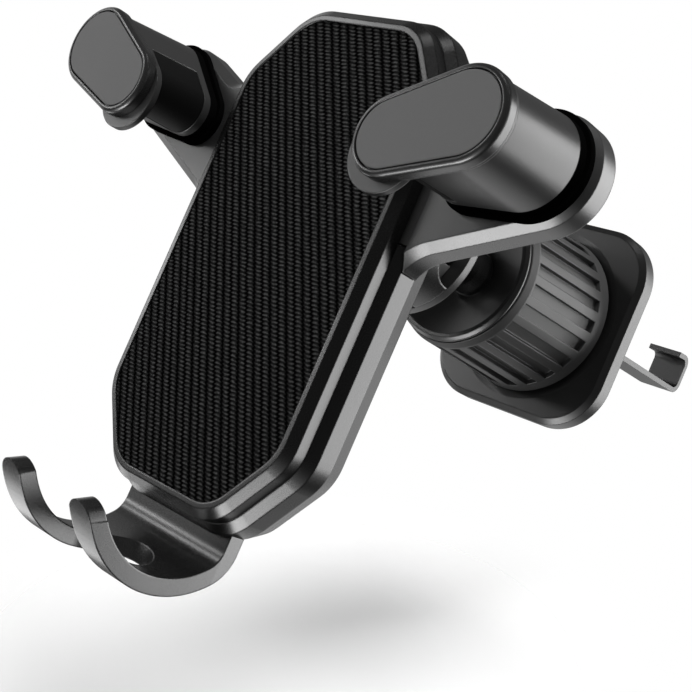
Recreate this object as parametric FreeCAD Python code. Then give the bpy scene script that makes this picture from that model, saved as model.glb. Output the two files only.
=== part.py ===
import FreeCAD, Part
import math
import os

from FreeCAD import Vector

os.makedirs("parts", exist_ok=True)

# Air vent phone holder: a cradle with two sliding arms and a sliding foot, carried on a ball
# joint by a clip whose hook is drawn against the vent by a turning knob.
# Frame: millimetres, X to the right, Y towards the vent, Z up. The origin lies on the clip's
# axis, in the rear face of the base plate, where it rests on the vent.
# The cradle's own measures are taken from the middle of its front rim: x right, y back, z up.

# Where the cradle sits against the clip
RIM_TO_VENT = 95.0
AXIS_ABOVE_MIDDLE = 18.9

# Running clearances
GAP = 0.3
FIT = 0.05

# Front rim of the body: an upright octagon with rounded corners
RIM_HALF_W = 26.75
RIM_HALF_H = 50.0
CORNER_W = 11.5
CORNER_H = 14.9
CORNER_R = 10.0

# Front shell
FRONT_BEVEL = 1.7
FRONT_BEVEL_D = 1.6
PARTING_Y = 4.4
RIM_LAND = 1.2
PAD_SINK = 0.25
PAD_T = 1.5

# Rear shell
REAR_BEVEL = 1.8
BAND_END_Y = 10.4
BACK_TAPER = 1.6
WALL = 2.4
FLOOR_T = 3.4

# Ball socket at the back of the rear shell
SOCKET_R = 17.4
SOCKET_LEN = 23.3
SOCKET_WALL = 3.3
SOCKET_FLOOR_R = 11.0
NOTCH_R = 9.0
RING_T = 2.1
RING_MOUTH_R = 12.2
BALL_R = 9.5
BALL_Y = 34.0
LINER_FRONT = 12.0
LINER_SLIT = 1.6

# Arms
ARM_T = 6.0
TONGUE_FRONT = 0.4
TONGUE_T = 3.8
END_X = 52.2
END_Z = 29.5
END_R = 11.1
ARM_LEAN = 23.9
ROOT_R = 5.0
LOW_ROOT_R = 9.5
ROOT_CUSP = 0.8
ARM_TRAVEL = 11.0

# Rack and pinion that keeps the arms even
MODULE = 1.0
TEETH = 14
ADDENDUM = 0.95
DEDENDUM = 1.25
BACKLASH = 0.36
PINION_Z = 21.0
RACK_H = 4.0
RACK_END = 13.0
AXLE_R = 2.0

# Foot: a plate that slides in the body, then bends forward and up; the bends are (radius, angle)
FOOT_Y = 7.5
FOOT_T = 3.5
FOOT_HALF_W = 16.1
TIP_HALF_W = 14.8
PLATE_L = 36.0
FOOT_DROP = 5.5
FOOT_BEND = [(6.8, 51.5), (20.6, 48.1), (20.2, 35.5), (26.8, 14.8)]
FOOT_TRAVEL = 10.0
LUG = 3.0
LUG_H = 4.0
PRONG_W = 6.6
SLOT_END_Y = 2.8
SLOT_R = 8.8
TIP_LEAN = 10.0

# Columns and heads of the arms
HEAD_FRONT_Y = -20.1
HEAD_T = 2.6
HEAD_IN = (38.84, 22.47, 7.75)
HEAD_OUT = (52.35, 28.37, 9.0)
HEAD_ROUND = 0.95
PANEL_INSET = 1.15
PANEL_GROOVE = 0.3
PANEL_T = 0.8
COLUMN_BASE_IN = (40.3, 24.5, 5.7)
COLUMN_BASE_OUT = (52.2, 29.5, 9.7)
COLUMN_TOP_IN = (40.3, 23.6, 5.5)
COLUMN_TOP_OUT = (52.35, 28.37, 8.4)
COLUMN_WALL = 2.2
HOLLOW_SHARE = 0.75
LIP_X = 37.4
LIP_Z = 20.5
LIP_R = 8.0
LIP_T = 1.3
COLLAR_T = 0.8
COLLAR_INSET = 0.25
FOOTING = 0.8
FOOTING_T = 1.4
SLEEVE_T = 1.4
SLEEVE_Y0 = -13.6
SLEEVE_Y1 = -0.8
SLEEVE_REACH = 1.7

# Screws
SCREW_R = 1.25
SCREW_HEAD_R = 2.3
SCREW_HEAD_T = 1.4
POST_R = 3.0
TOP_SCREW = (14.0, 7.0)
LOW_SCREW = (21.0, 13.5)
ARM_SCREWS = [(52.2, 29.5), (42.0, 25.2)]

# Clip: plate against the vent
PLATE_HALF = 24.85
PLATE_T = 5.0
PLATE_CORNER_R = 13.0
PLATE_BEVEL = 1.4
DISH_R = 21.6
DISH_D = 1.4
DISH_FLOOR_R = 13.0
VENT_PAD_INSET = 3.6
VENT_PAD_T = 1.4
VENT_PAD_HOLE = (14.0, 9.0)

# Clip: hub on the plate, on which the knob turns
HUB_R = 10.0
HUB_BORE_R = 7.6
HUB_LEN = 27.0
HUB_FLOOR_T = 2.0

# Clip: cup at the front of the hub
LIP_OUT_R = 17.9
LIP_IN_R = 16.3
LIP_FRONT_Y = -38.7
LIP_BACK_Y = -37.45
CUP_R = 15.8
CUP_FLOOR_R = 5.6
CUP_FLOOR_Y = -33.4
CUP_BOSS_R = 7.5
CUP_BOSS = 2.0

# Ball stud
NECK_R = 4.3
STUD_FLARE_R = 5.4
SHANK_R = 3.5
SHANK_END_Y = -26.3
CLIP_GROOVE_R = 2.6
CLIP_OUT_R = 5.4
CLIP_T = 0.8

# Knob
KNOB_FRONT_Y = -37.1
KNOB_FRONT_R = 18.1
KNOB_SLOT_START_Y = -35.2
KNOB_R0 = 18.7
KNOB_SLOT_END_Y = -8.6
KNOB_R1 = 19.6
KNOB_END_R = 19.9
KNOB_RECESS_R = 16.2
KNOB_RECESS_D = 5.8
POCKETS = 24
POCKET_SHARE = 0.57
POCKET_D = 1.25

# Screw drive between knob and hook: two pegs in a double groove
LEAD = 10.0
STARTS = 2
HOOK_TRAVEL = 14.0
PEG_R = 1.3
PEG_REACH = 12.3
GROOVE_R = 12.7
PEG_REST_Y = -8.0
CARRIER_LEN = 6.6
CARRIER_BACK_Y = -4.6

# Hook
STRIP_W = 10.0
STRIP_T = 1.4
STRIP_Z = 1.3
HOOK_END_Y = 62.0
HOOK_RISE = 11.0
HOOK_BEND_R = 1.6
HOOK_LIP = 6.0
HOOK_LIP_DROP = 0.9
RIVET_R = 1.1
RIVET_X = 3.0

# A length past every piece, for the tools that cut right through
FAR = 4.0 * RIM_HALF_H

# Values that follow from the sizes above
BACK_BEVEL = FRONT_BEVEL + REAR_BEVEL
FLOOR_Y = FOOT_Y + FOOT_T + GAP
FOOT_BEND_Z = -RIM_HALF_H - FOOT_DROP
FOOT_TOP_Z = -RIM_HALF_H + PLATE_L
BACK_Y = FLOOR_Y + FLOOR_T
PAD_BACK_Y = PAD_SINK + PAD_T
SIDE_X = RIM_HALF_W + BACK_BEVEL
ARM_BACK_Y = PARTING_Y + ARM_T
TONGUE_Y0 = PARTING_Y + TONGUE_FRONT
TONGUE_Y1 = TONGUE_Y0 + TONGUE_T
PITCH_R = MODULE * TEETH / 2.0
RACK_ROOT_Z = PITCH_R + DEDENDUM
SHELL_SCREWS = []
for across in (1, -1):
    SHELL_SCREWS.append((across * TOP_SCREW[0], RIM_HALF_H - TOP_SCREW[1]))
    SHELL_SCREWS.append((across * LOW_SCREW[0], LOW_SCREW[1] - RIM_HALF_H))
TONGUE_HALF_H = PITCH_R + RACK_H
SOCKET_END_Y = BACK_Y + SOCKET_LEN
SOCKET_BORE_R = SOCKET_R - SOCKET_WALL
HEAD_BACK_Y = HEAD_FRONT_Y + HEAD_T
LINER_FRONT_Y = BALL_Y - LINER_FRONT
PLATE_FRONT_Y = -PLATE_T
HUB_FRONT_Y = PLATE_FRONT_Y - HUB_LEN
KNOB_BACK_Y = PLATE_FRONT_Y - GAP
KNOB_BORE_R = HUB_R + FIT
STRIP_Z0 = STRIP_Z - STRIP_T / 2.0


# Turn a point (x, z) at a depth y into a vector
def at(point, y):
    return Vector(point[0], y, point[1])


# Closed outline in the plane at depth y, from corners (x, z) with one radius for each corner
def outline(corners, radii, y):
    count = len(corners)
    if not isinstance(radii, (list, tuple)):
        radii = [radii] * count
    starts = []
    middles = []
    ends = []
    for i in range(count):
        before = at(corners[i - 1], y)
        here = at(corners[i], y)
        after = at(corners[(i + 1) % count], y)
        if radii[i] <= 0:
            starts.append(here)
            middles.append(None)
            ends.append(here)
            continue
        a = (before - here).normalize()
        b = (after - here).normalize()
        half = a.getAngle(b) / 2.0
        reach = radii[i] / math.tan(half)
        centre = here + (a + b).normalize() * (radii[i] / math.sin(half))
        starts.append(here + a * reach)
        middles.append(centre + (here - centre).normalize() * radii[i])
        ends.append(here + b * reach)
    edges = []
    for i in range(count):
        if middles[i] is not None:
            edges.append(Part.Arc(starts[i], middles[i], ends[i]).toShape())
        following = starts[(i + 1) % count]
        if (following - ends[i]).Length > 1e-6:
            edges.append(Part.makeLine(ends[i], following))
    return Part.Wire(edges)


# Straight block from an outline, from its own depth back to depth y1
def block(wire, y0, y1):
    return Part.Face(wire).extrude(Vector(0, y1 - y0, 0))


# Corners of the body's octagon, moved outwards by a distance
def octagon(out):
    length = math.hypot(CORNER_W, CORNER_H)
    nx = CORNER_H / length
    nz = CORNER_W / length
    w = RIM_HALF_W + out
    h = RIM_HALF_H + out
    c = nx * RIM_HALF_W + nz * (RIM_HALF_H - CORNER_H) + out
    z_side = (c - nx * w) / nz
    x_top = (c - nz * h) / nx
    return [(w, -z_side), (w, z_side), (x_top, h), (-x_top, h),
            (-w, z_side), (-w, -z_side), (-x_top, -h), (x_top, -h)]


# Octagon outline at a depth
def body_wire(out, y):
    return outline(octagon(out), CORNER_R + out * 0.5, y)


# Straight or tapered layer of the body
def body_layer(out0, y0, out1, y1):
    if out0 == out1:
        return block(body_wire(out0, y0), y0, y1)
    return Part.makeLoft([body_wire(out0, y0), body_wire(out1, y1)], True, True)


# Outline around two circles (x, z, r), grown by a distance, at a depth
def capsule_wire(small, large, y, grow=0.0):
    ax, az, ar = small
    bx, bz, br = large
    ar = ar + grow
    br = br + grow
    along = math.atan2(bz - az, bx - ax)
    distance = math.hypot(bx - ax, bz - az)
    lean = math.asin((br - ar) / distance)
    up = along + math.pi / 2.0 + lean
    down = along - math.pi / 2.0 - lean

    def spot(cx, cz, r, angle):
        return Vector(cx + r * math.cos(angle), y, cz + r * math.sin(angle))

    a_up = spot(ax, az, ar, up)
    a_down = spot(ax, az, ar, down)
    b_up = spot(bx, bz, br, up)
    b_down = spot(bx, bz, br, down)
    a_mid = spot(ax, az, ar, along + math.pi)
    b_mid = spot(bx, bz, br, along)
    return Part.Wire([
        Part.Arc(a_up, a_mid, a_down).toShape(),
        Part.makeLine(a_down, b_down),
        Part.Arc(b_down, b_mid, b_up).toShape(),
        Part.makeLine(b_up, a_up)])


# Circle (x, z, r) part of the way from one circle to another
def between(first, second, share):
    return tuple([a + (b - a) * share for a, b in zip(first, second)])


# Block between two depths around two circles
def capsule(small, large, y0, y1, grow=0.0):
    return block(capsule_wire(small, large, y0, grow), y0, y1)


# Round bar along Y
def rod(r, y0, y1, x=0.0, z=0.0):
    return Part.makeCylinder(r, y1 - y0, Vector(x, y0, z), Vector(0, 1, 0))


# Box from its two corners
def box(x0, x1, y0, y1, z0, z1):
    return Part.makeBox(x1 - x0, y1 - y0, z1 - z0, Vector(x0, y0, z0))


# Solid turned about the Y axis from a half section of (r, y) points; a point with three
# values, (r, y, "arc"), is the middle of an arc between its neighbours
def turned(points):
    edges = []
    corners = points + [points[0]]
    i = 0
    while i < len(corners) - 1:
        a = Vector(corners[i][0], corners[i][1], 0)
        b = Vector(corners[i + 1][0], corners[i + 1][1], 0)
        if len(corners[i + 1]) == 3:
            c = Vector(corners[i + 2][0], corners[i + 2][1], 0)
            edges.append(Part.Arc(a, b, c).toShape())
            i = i + 2
        else:
            edges.append(Part.makeLine(a, b))
            i = i + 1
    face = Part.Face(Part.Wire(edges))
    return face.revolve(Vector(0, 0, 0), Vector(0, 1, 0), 360)


# Mirror image about the plane X = 0
def mirrored(shape):
    return shape.mirror(Vector(0, 0, 0), Vector(1, 0, 0))


# Join pieces of one moulding
def joined(pieces):
    result = pieces[0].fuse(pieces[1:])
    return result.removeSplitter()


# Keep the solid of a one-solid result plain
def tidy(shape):
    if len(shape.Solids) == 1:
        return shape.Solids[0]
    return Part.makeCompound(shape.Solids)


# Move a cradle piece into the frame
def place(shape):
    moved = tidy(shape).copy()
    moved.translate(Vector(0, -RIM_TO_VENT, -AXIS_ABOVE_MIDDLE))
    return moved


parts = {}


# Countersunk screw, head first, going from depth y0 forward by a length
def screw(x, z, y0, length):
    shank = rod(SCREW_R, y0 - length, y0 - SCREW_HEAD_T / 2.0, x, z)
    head = Part.makeCone(SCREW_HEAD_R, SCREW_R, SCREW_HEAD_T, Vector(x, y0, z), Vector(0, -1, 0))
    cross = box(x - 1.3, x + 1.3, y0 - 0.6, y0 + 1, z - 0.25, z + 0.25)
    cross = cross.fuse(box(x - 0.25, x + 0.25, y0 - 0.6, y0 + 1, z - 1.3, z + 1.3))
    return joined([shank, head]).cut(cross)


# Hole that such a screw sits in, open at the back
def screw_seat(x, z, y0, length):
    shank = rod(SCREW_R + FIT, y0 - length - FIT, y0 + 1, x, z)
    head = Part.makeCone(SCREW_HEAD_R + FIT, SCREW_R + FIT, SCREW_HEAD_T,
                         Vector(x, y0, z), Vector(0, -1, 0))
    return shank.fuse(head)


# Front shell: bevelled rim, pocket for the grip pad, posts that take the screws
SHELL_SCREW_LEN = BACK_Y - PARTING_Y + 2.0
front = joined([
    body_layer(0, 0, FRONT_BEVEL, FRONT_BEVEL_D),
    body_layer(FRONT_BEVEL, FRONT_BEVEL_D, FRONT_BEVEL, PARTING_Y)])
front = front.cut(body_layer(-RIM_LAND, -1, -RIM_LAND, PAD_BACK_Y))
for x, z in SHELL_SCREWS:
    front = front.cut(screw_seat(x, z, BACK_Y, SHELL_SCREW_LEN))
parts["front_shell"] = place(front)

# Grip pad: woven rubber sheet in the pocket
pad = body_layer(-RIM_LAND - FIT, PAD_SINK, -RIM_LAND - FIT, PAD_BACK_Y)
parts["grip_pad"] = place(pad)

# Rear shell: bevelled band, floor, posts, guides and the cylindrical ball socket
TAPER_OUT = BACK_BEVEL - BACK_TAPER
rear = joined([
    body_layer(FRONT_BEVEL, PARTING_Y, BACK_BEVEL, PARTING_Y + REAR_BEVEL),
    body_layer(BACK_BEVEL, PARTING_Y + REAR_BEVEL, BACK_BEVEL, BAND_END_Y),
    body_layer(BACK_BEVEL, BAND_END_Y, TAPER_OUT, BACK_Y)])
INNER_OUT = BACK_BEVEL - WALL
rear = rear.cut(body_layer(INNER_OUT, PARTING_Y - 1, INNER_OUT, FLOOR_Y))
fittings = []
for x, z in SHELL_SCREWS:
    fittings.append(rod(POST_R, PARTING_Y, FLOOR_Y + 0.5, x, z))
GUIDE_T = 1.5
RAIL_LIP = 2.0
GUIDE_Y = TONGUE_Y0 + 0.4
LUG_HALF_W = FOOT_HALF_W + LUG
STOP_Z = FOOT_TOP_Z - LUG_H - FOOT_TRAVEL - GAP
INNER_X = RIM_HALF_W + INNER_OUT
for side in (-1, 1):
    low = PINION_Z - TONGUE_HALF_H - GAP
    high = PINION_Z + TONGUE_HALF_H + GAP
    guide_in = side * (INNER_X - 7.0)
    guide_out = side * (INNER_X + 0.5)
    x0 = min(guide_in, guide_out)
    x1 = max(guide_in, guide_out)
    fittings.append(box(x0, x1, GUIDE_Y, FLOOR_Y + 0.5, low - GUIDE_T, low))
    fittings.append(box(x0, x1, GUIDE_Y, FLOOR_Y + 0.5, high, high + GUIDE_T))
    fittings.append(box(x0, x1, TONGUE_Y1 + GAP, FLOOR_Y + 0.5, low, high))
    rail_in = side * (FOOT_HALF_W + GAP)
    rail_out = side * (FOOT_HALF_W + GAP + GUIDE_T)
    x0 = min(rail_in, rail_out)
    x1 = max(rail_in, rail_out)
    fittings.append(box(x0, x1, GUIDE_Y, FLOOR_Y + 0.5, -RIM_HALF_H, STOP_Z))
    lip_in = side * (FOOT_HALF_W - RAIL_LIP)
    x0 = min(lip_in, rail_out)
    x1 = max(lip_in, rail_out)
    fittings.append(box(x0, x1, GUIDE_Y, FOOT_Y - GAP, -RIM_HALF_H, STOP_Z))
AXLE_SEAT_Y = TONGUE_Y1 + GAP
fittings.append(rod(AXLE_R * 1.8, AXLE_SEAT_Y, FLOOR_Y + 0.5, 0, PINION_Z))
fittings.append(rod(AXLE_R, PARTING_Y + 0.1, FLOOR_Y + 0.5, 0, PINION_Z))
BOSS_Z = AXIS_ABOVE_MIDDLE
boss = rod(SOCKET_R, BACK_Y - 0.5, SOCKET_END_Y, 0, BOSS_Z)
boss_root = Part.makeCone(SOCKET_R + 1.2, SOCKET_R, 1.2, Vector(0, BACK_Y, BOSS_Z), Vector(0, 1, 0))
fittings.append(boss)
fittings.append(boss_root)
rear = joined([rear] + fittings)
rear = rear.cut(rod(SOCKET_BORE_R, LINER_FRONT_Y, SOCKET_END_Y + 1, 0, BOSS_Z))
rear = rear.cut(rod(SOCKET_FLOOR_R, BACK_Y + 0.6, LINER_FRONT_Y + 1, 0, BOSS_Z))
for angle in (0, 90, 180, 270):
    out = Vector(math.cos(math.radians(angle)), 0, math.sin(math.radians(angle)))
    start = Vector(0, SOCKET_END_Y, BOSS_Z) + out * (SOCKET_BORE_R * 0.7)
    rear = rear.cut(Part.makeCylinder(NOTCH_R, SOCKET_R, start, out))
for side in (-1, 1):
    x0 = min(side * (INNER_X - 1), side * (SIDE_X + 2))
    x1 = max(side * (INNER_X - 1), side * (SIDE_X + 2))
    rear = rear.cut(box(x0, x1, PARTING_Y - 1, TONGUE_Y1 + GAP + 0.1, low, high))
rear = rear.cut(box(-FOOT_HALF_W - GAP, FOOT_HALF_W + GAP, FOOT_Y - GAP, FLOOR_Y,
                    -RIM_HALF_H - BACK_BEVEL - 1, -RIM_HALF_H + 3))
for x, z in SHELL_SCREWS:
    rear = rear.cut(screw_seat(x, z, BACK_Y, SHELL_SCREW_LEN))
parts["rear_shell"] = place(rear)
parts["shell_screws"] = place(Part.makeCompound(
    [screw(x, z, BACK_Y, SHELL_SCREW_LEN) for x, z in SHELL_SCREWS]))

# Ring that closes the ball socket
ring = rod(SOCKET_R, SOCKET_END_Y, SOCKET_END_Y + RING_T, 0, BOSS_Z)
ring = ring.cut(rod(RING_MOUTH_R, SOCKET_END_Y - 1, SOCKET_END_Y + RING_T + 1, 0, BOSS_Z))
ring = ring.cut(Part.makeCone(RING_MOUTH_R, RING_MOUTH_R + 2.0, RING_T,
                              Vector(0, SOCKET_END_Y, BOSS_Z), Vector(0, 1, 0)))
parts["socket_ring"] = place(ring)

# Liner: split plastic cup that grips the ball
cavity_r = BALL_R + FIT
liner_end_y = SOCKET_END_Y - FIT
mouth_r = math.sqrt(cavity_r ** 2 - (liner_end_y - BALL_Y) ** 2)
turn = math.radians(-20)
liner = turned([
    (0, BALL_Y - cavity_r),
    (0, LINER_FRONT_Y + FIT),
    (SOCKET_BORE_R - FIT, LINER_FRONT_Y + FIT),
    (SOCKET_BORE_R - FIT, liner_end_y),
    (mouth_r, liner_end_y),
    (cavity_r * math.cos(turn), BALL_Y + cavity_r * math.sin(turn), "arc")])
liner.translate(Vector(0, 0, BOSS_Z))
for angle in (0, 90, 180, 270):
    slit = box(BALL_R * 0.6, SOCKET_R + 1, BALL_Y - 3.0, SOCKET_END_Y + 1,
               -LINER_SLIT / 2.0, LINER_SLIT / 2.0)
    slit.rotate(Vector(0, 0, 0), Vector(0, 1, 0), angle + 15)
    slit.translate(Vector(0, 0, BOSS_Z))
    liner = liner.cut(slit)
parts["socket_liner"] = place(liner)


# Corners (z, x) of one rack tooth set are cut as gaps between trapezoid teeth
def rack_teeth(first, last):
    teeth = []
    pitch = math.pi * MODULE
    flank = math.tan(math.radians(20))
    half = pitch / 4.0 - BACKLASH / 2.0
    k = math.ceil(first / pitch)
    while k * pitch <= last:
        c = k * pitch
        tip = half - ADDENDUM * flank
        root = half + (DEDENDUM + 0.3) * flank
        z_tip = PITCH_R - ADDENDUM
        z_root = RACK_ROOT_Z + 0.3
        corners = [(c - root, z_root), (c - tip, z_tip), (c + tip, z_tip), (c + root, z_root)]
        teeth.append(block(outline(corners, 0, TONGUE_Y0), TONGUE_Y0, TONGUE_Y1))
        k = k + 1
    return teeth


# Outline of an arm's outer plate, pulled in by a distance, at a depth
def arm_wire(pull, y):
    lean = math.radians(ARM_LEAN)
    ux = math.cos(lean)
    uz = math.sin(lean)
    r = END_R - pull
    x_root = SIDE_X + GAP - ROOT_CUSP - pull
    low_end = (END_X + r * (ux + uz), END_Z + r * (uz - ux))
    high_end = (END_X + r * (ux - uz), END_Z + r * (uz + ux))
    rise = uz / ux
    low_root = low_end[1] - (low_end[0] - x_root) * rise
    high_root = high_end[1] - (high_end[0] - x_root) * rise
    corners = [(x_root - 5, low_root - 20), (x_root, low_root - 20), (x_root, low_root),
               low_end, high_end, (x_root, high_root), (x_root, high_root + 20),
               (x_root - 5, high_root + 20)]
    return outline(corners, [0, 0, LOW_ROOT_R + pull, r, r, ROOT_R + pull, 0, 0], y)


# One arm: flat plate outside the body, tongue with a rack inside it
def make_arm(left):
    x_in = SIDE_X + GAP
    bevel_y = PARTING_Y + REAR_BEVEL
    plate = joined([
        Part.makeLoft([arm_wire(REAR_BEVEL, PARTING_Y), arm_wire(0, bevel_y)], True, True),
        block(arm_wire(0, bevel_y), bevel_y, ARM_BACK_Y)])
    plate = plate.common(box(x_in, FAR, 0, FAR, -FAR, FAR))
    reach = RACK_END + 1.0
    tongue = box(reach, x_in + 1, TONGUE_Y0, TONGUE_Y1,
                 PINION_Z - TONGUE_HALF_H, PINION_Z + TONGUE_HALF_H)
    rack = box(-RACK_END, reach + 1, TONGUE_Y0, TONGUE_Y1, RACK_ROOT_Z, TONGUE_HALF_H)
    teeth = rack_teeth(-RACK_END + 0.8, RACK_END - ARM_TRAVEL + 1.5)
    bar = joined([rack] + teeth)
    if left:
        bar.rotate(Vector(0, 0, 0), Vector(1, 0, 0), 180)
        bar.translate(Vector(0, TONGUE_Y0 + TONGUE_Y1, 0))
    bar.translate(Vector(0, 0, PINION_Z))
    arm = joined([plate, tongue, bar])
    for x, z in ARM_SCREWS:
        arm = arm.cut(screw_seat(x, z, ARM_BACK_Y, ARM_T + 2))
    return arm


# Column: hollow tapered post that carries the head, with a lip and a seat for its rubber
def make_column():
    footing = capsule(COLUMN_BASE_IN, COLUMN_BASE_OUT, PARTING_Y - FOOTING_T, PARTING_Y, FOOTING)
    post = Part.makeLoft([capsule_wire(COLUMN_BASE_IN, COLUMN_BASE_OUT, PARTING_Y),
                          capsule_wire(COLUMN_TOP_IN, COLUMN_TOP_OUT, HEAD_BACK_Y)], True, True)
    lip = rod(LIP_R, HEAD_BACK_Y, HEAD_BACK_Y + LIP_T, LIP_X, LIP_Z)
    collar = capsule(HEAD_IN, HEAD_OUT, HEAD_BACK_Y, HEAD_BACK_Y + COLLAR_T, -COLLAR_INSET)
    column = joined([post, footing, lip, collar])
    base_in = between(COLUMN_BASE_IN, COLUMN_BASE_OUT, HOLLOW_SHARE)
    top_in = between(COLUMN_TOP_IN, COLUMN_TOP_OUT, HOLLOW_SHARE)
    hollow = Part.makeLoft([
        capsule_wire(base_in, COLUMN_BASE_OUT, PARTING_Y + 0.5, -COLUMN_WALL - SLEEVE_T),
        capsule_wire(top_in, COLUMN_TOP_OUT, HEAD_BACK_Y + 2.5, -COLUMN_WALL - SLEEVE_T)],
        True, True)
    hollow = hollow.common(box(0, FAR, HEAD_BACK_Y + 2.5, PARTING_Y + 1, -FAR, FAR))
    x, z = ARM_SCREWS[0]
    column = joined([column.cut(hollow), rod(POST_R, HEAD_BACK_Y + 2.0, PARTING_Y, x, z)])
    column = column.cut(sleeve_body(0.0))
    for x, z in ARM_SCREWS:
        column = column.cut(screw_seat(x, z, ARM_BACK_Y, ARM_T + 6.0))
    return column


# Rubber that wraps the inner nose of a column
def sleeve_body(clear):
    y0 = SLEEVE_Y0 + clear
    y1 = SLEEVE_Y1 - clear
    outer = Part.makeLoft([capsule_wire(COLUMN_BASE_IN, COLUMN_BASE_OUT, PARTING_Y, -0.15),
                           capsule_wire(COLUMN_TOP_IN, COLUMN_TOP_OUT, HEAD_BACK_Y, -0.15)],
                          True, True)
    inner = Part.makeLoft([
        capsule_wire(COLUMN_BASE_IN, COLUMN_BASE_OUT, PARTING_Y, -SLEEVE_T + clear),
        capsule_wire(COLUMN_TOP_IN, COLUMN_TOP_OUT, HEAD_BACK_Y, -SLEEVE_T + clear)], True, True)
    if clear == 0.0:
        outer = Part.makeLoft([capsule_wire(COLUMN_BASE_IN, COLUMN_BASE_OUT, PARTING_Y, 3.0),
                               capsule_wire(COLUMN_TOP_IN, COLUMN_TOP_OUT, HEAD_BACK_Y, 3.0)],
                              True, True)
    shell = outer.cut(inner)
    cx, cz, r = COLUMN_BASE_IN
    window = box(cx - 2 * r, cx + SLEEVE_REACH, y0, y1, cz - 2 * r, cz + 2 * r)
    return shell.common(window)


ARM_SCREW_LEN = ARM_T + 5.4
for side in ("right", "left"):
    pieces = {
        "arm": make_arm(side == "left"),
        "column": make_column(),
        "sleeve": sleeve_body(FIT),
        "arm_screws": Part.makeCompound(
            [screw(x, z, ARM_BACK_Y, ARM_SCREW_LEN) for x, z in ARM_SCREWS])}
    head = capsule(HEAD_IN, HEAD_OUT, HEAD_FRONT_Y, HEAD_BACK_Y)
    front_edges = [e for e in head.Edges if e.BoundBox.YMax < HEAD_FRONT_Y + 1e-4]
    head = head.makeFillet(HEAD_ROUND, front_edges)
    groove = capsule(HEAD_IN, HEAD_OUT, HEAD_FRONT_Y - 1, HEAD_FRONT_Y + PANEL_T, -PANEL_INSET)
    pieces["head"] = head.cut(groove)
    pieces["head_panel"] = capsule(HEAD_IN, HEAD_OUT, HEAD_FRONT_Y, HEAD_FRONT_Y + PANEL_T,
                                   -PANEL_INSET - PANEL_GROOVE)
    for name, shape in pieces.items():
        if side == "left":
            shape = mirrored(shape)
        parts[side + "_" + name] = place(shape)


# Pinion between the two racks, with flanks that follow the rolling of a straight rack
def make_pinion():
    tooth = []
    steps = 4
    half_pitch = math.pi / 2.0 / TEETH - BACKLASH / 4.0 / PITCH_R
    base_r = PITCH_R * math.cos(math.radians(20))
    involute_pitch = math.tan(math.radians(20)) - math.radians(20)
    root_r = PITCH_R - DEDENDUM
    for k in range(TEETH):
        centre = math.pi / 2.0 + (k + 0.5) * 2 * math.pi / TEETH
        flank = []
        for i in range(steps + 1):
            r = base_r + (PITCH_R + ADDENDUM - base_r) * i / steps
            pressure = math.acos(base_r / r)
            spread = half_pitch + involute_pitch - (math.tan(pressure) - pressure)
            flank.append((r, spread))
        tooth.append((root_r, centre - flank[0][1]))
        tooth.extend([(r, centre - a) for r, a in flank])
        tooth.extend([(r, centre + a) for r, a in reversed(flank)])
        tooth.append((root_r, centre + flank[0][1]))
    corners = [(r * math.cos(a), PINION_Z + r * math.sin(a)) for r, a in tooth]
    wheel = block(outline(corners, 0, TONGUE_Y0), TONGUE_Y0, TONGUE_Y1)
    return wheel.cut(rod(AXLE_R + FIT, TONGUE_Y0 - 1, TONGUE_Y1 + 1, 0, PINION_Z))


parts["pinion"] = place(make_pinion())


# Tool that cuts straight down through the foot below the body, from (x, y) corners
def from_above(corners, radii):
    tool = Part.Face(outline(corners, radii, 0)).extrude(Vector(0, FAR, 0))
    tool.rotate(Vector(0, 0, 0), Vector(1, 0, 0), -90)
    tool.translate(Vector(0, 0, FOOT_BEND_Z + FOOT_DROP))
    return tool


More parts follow.
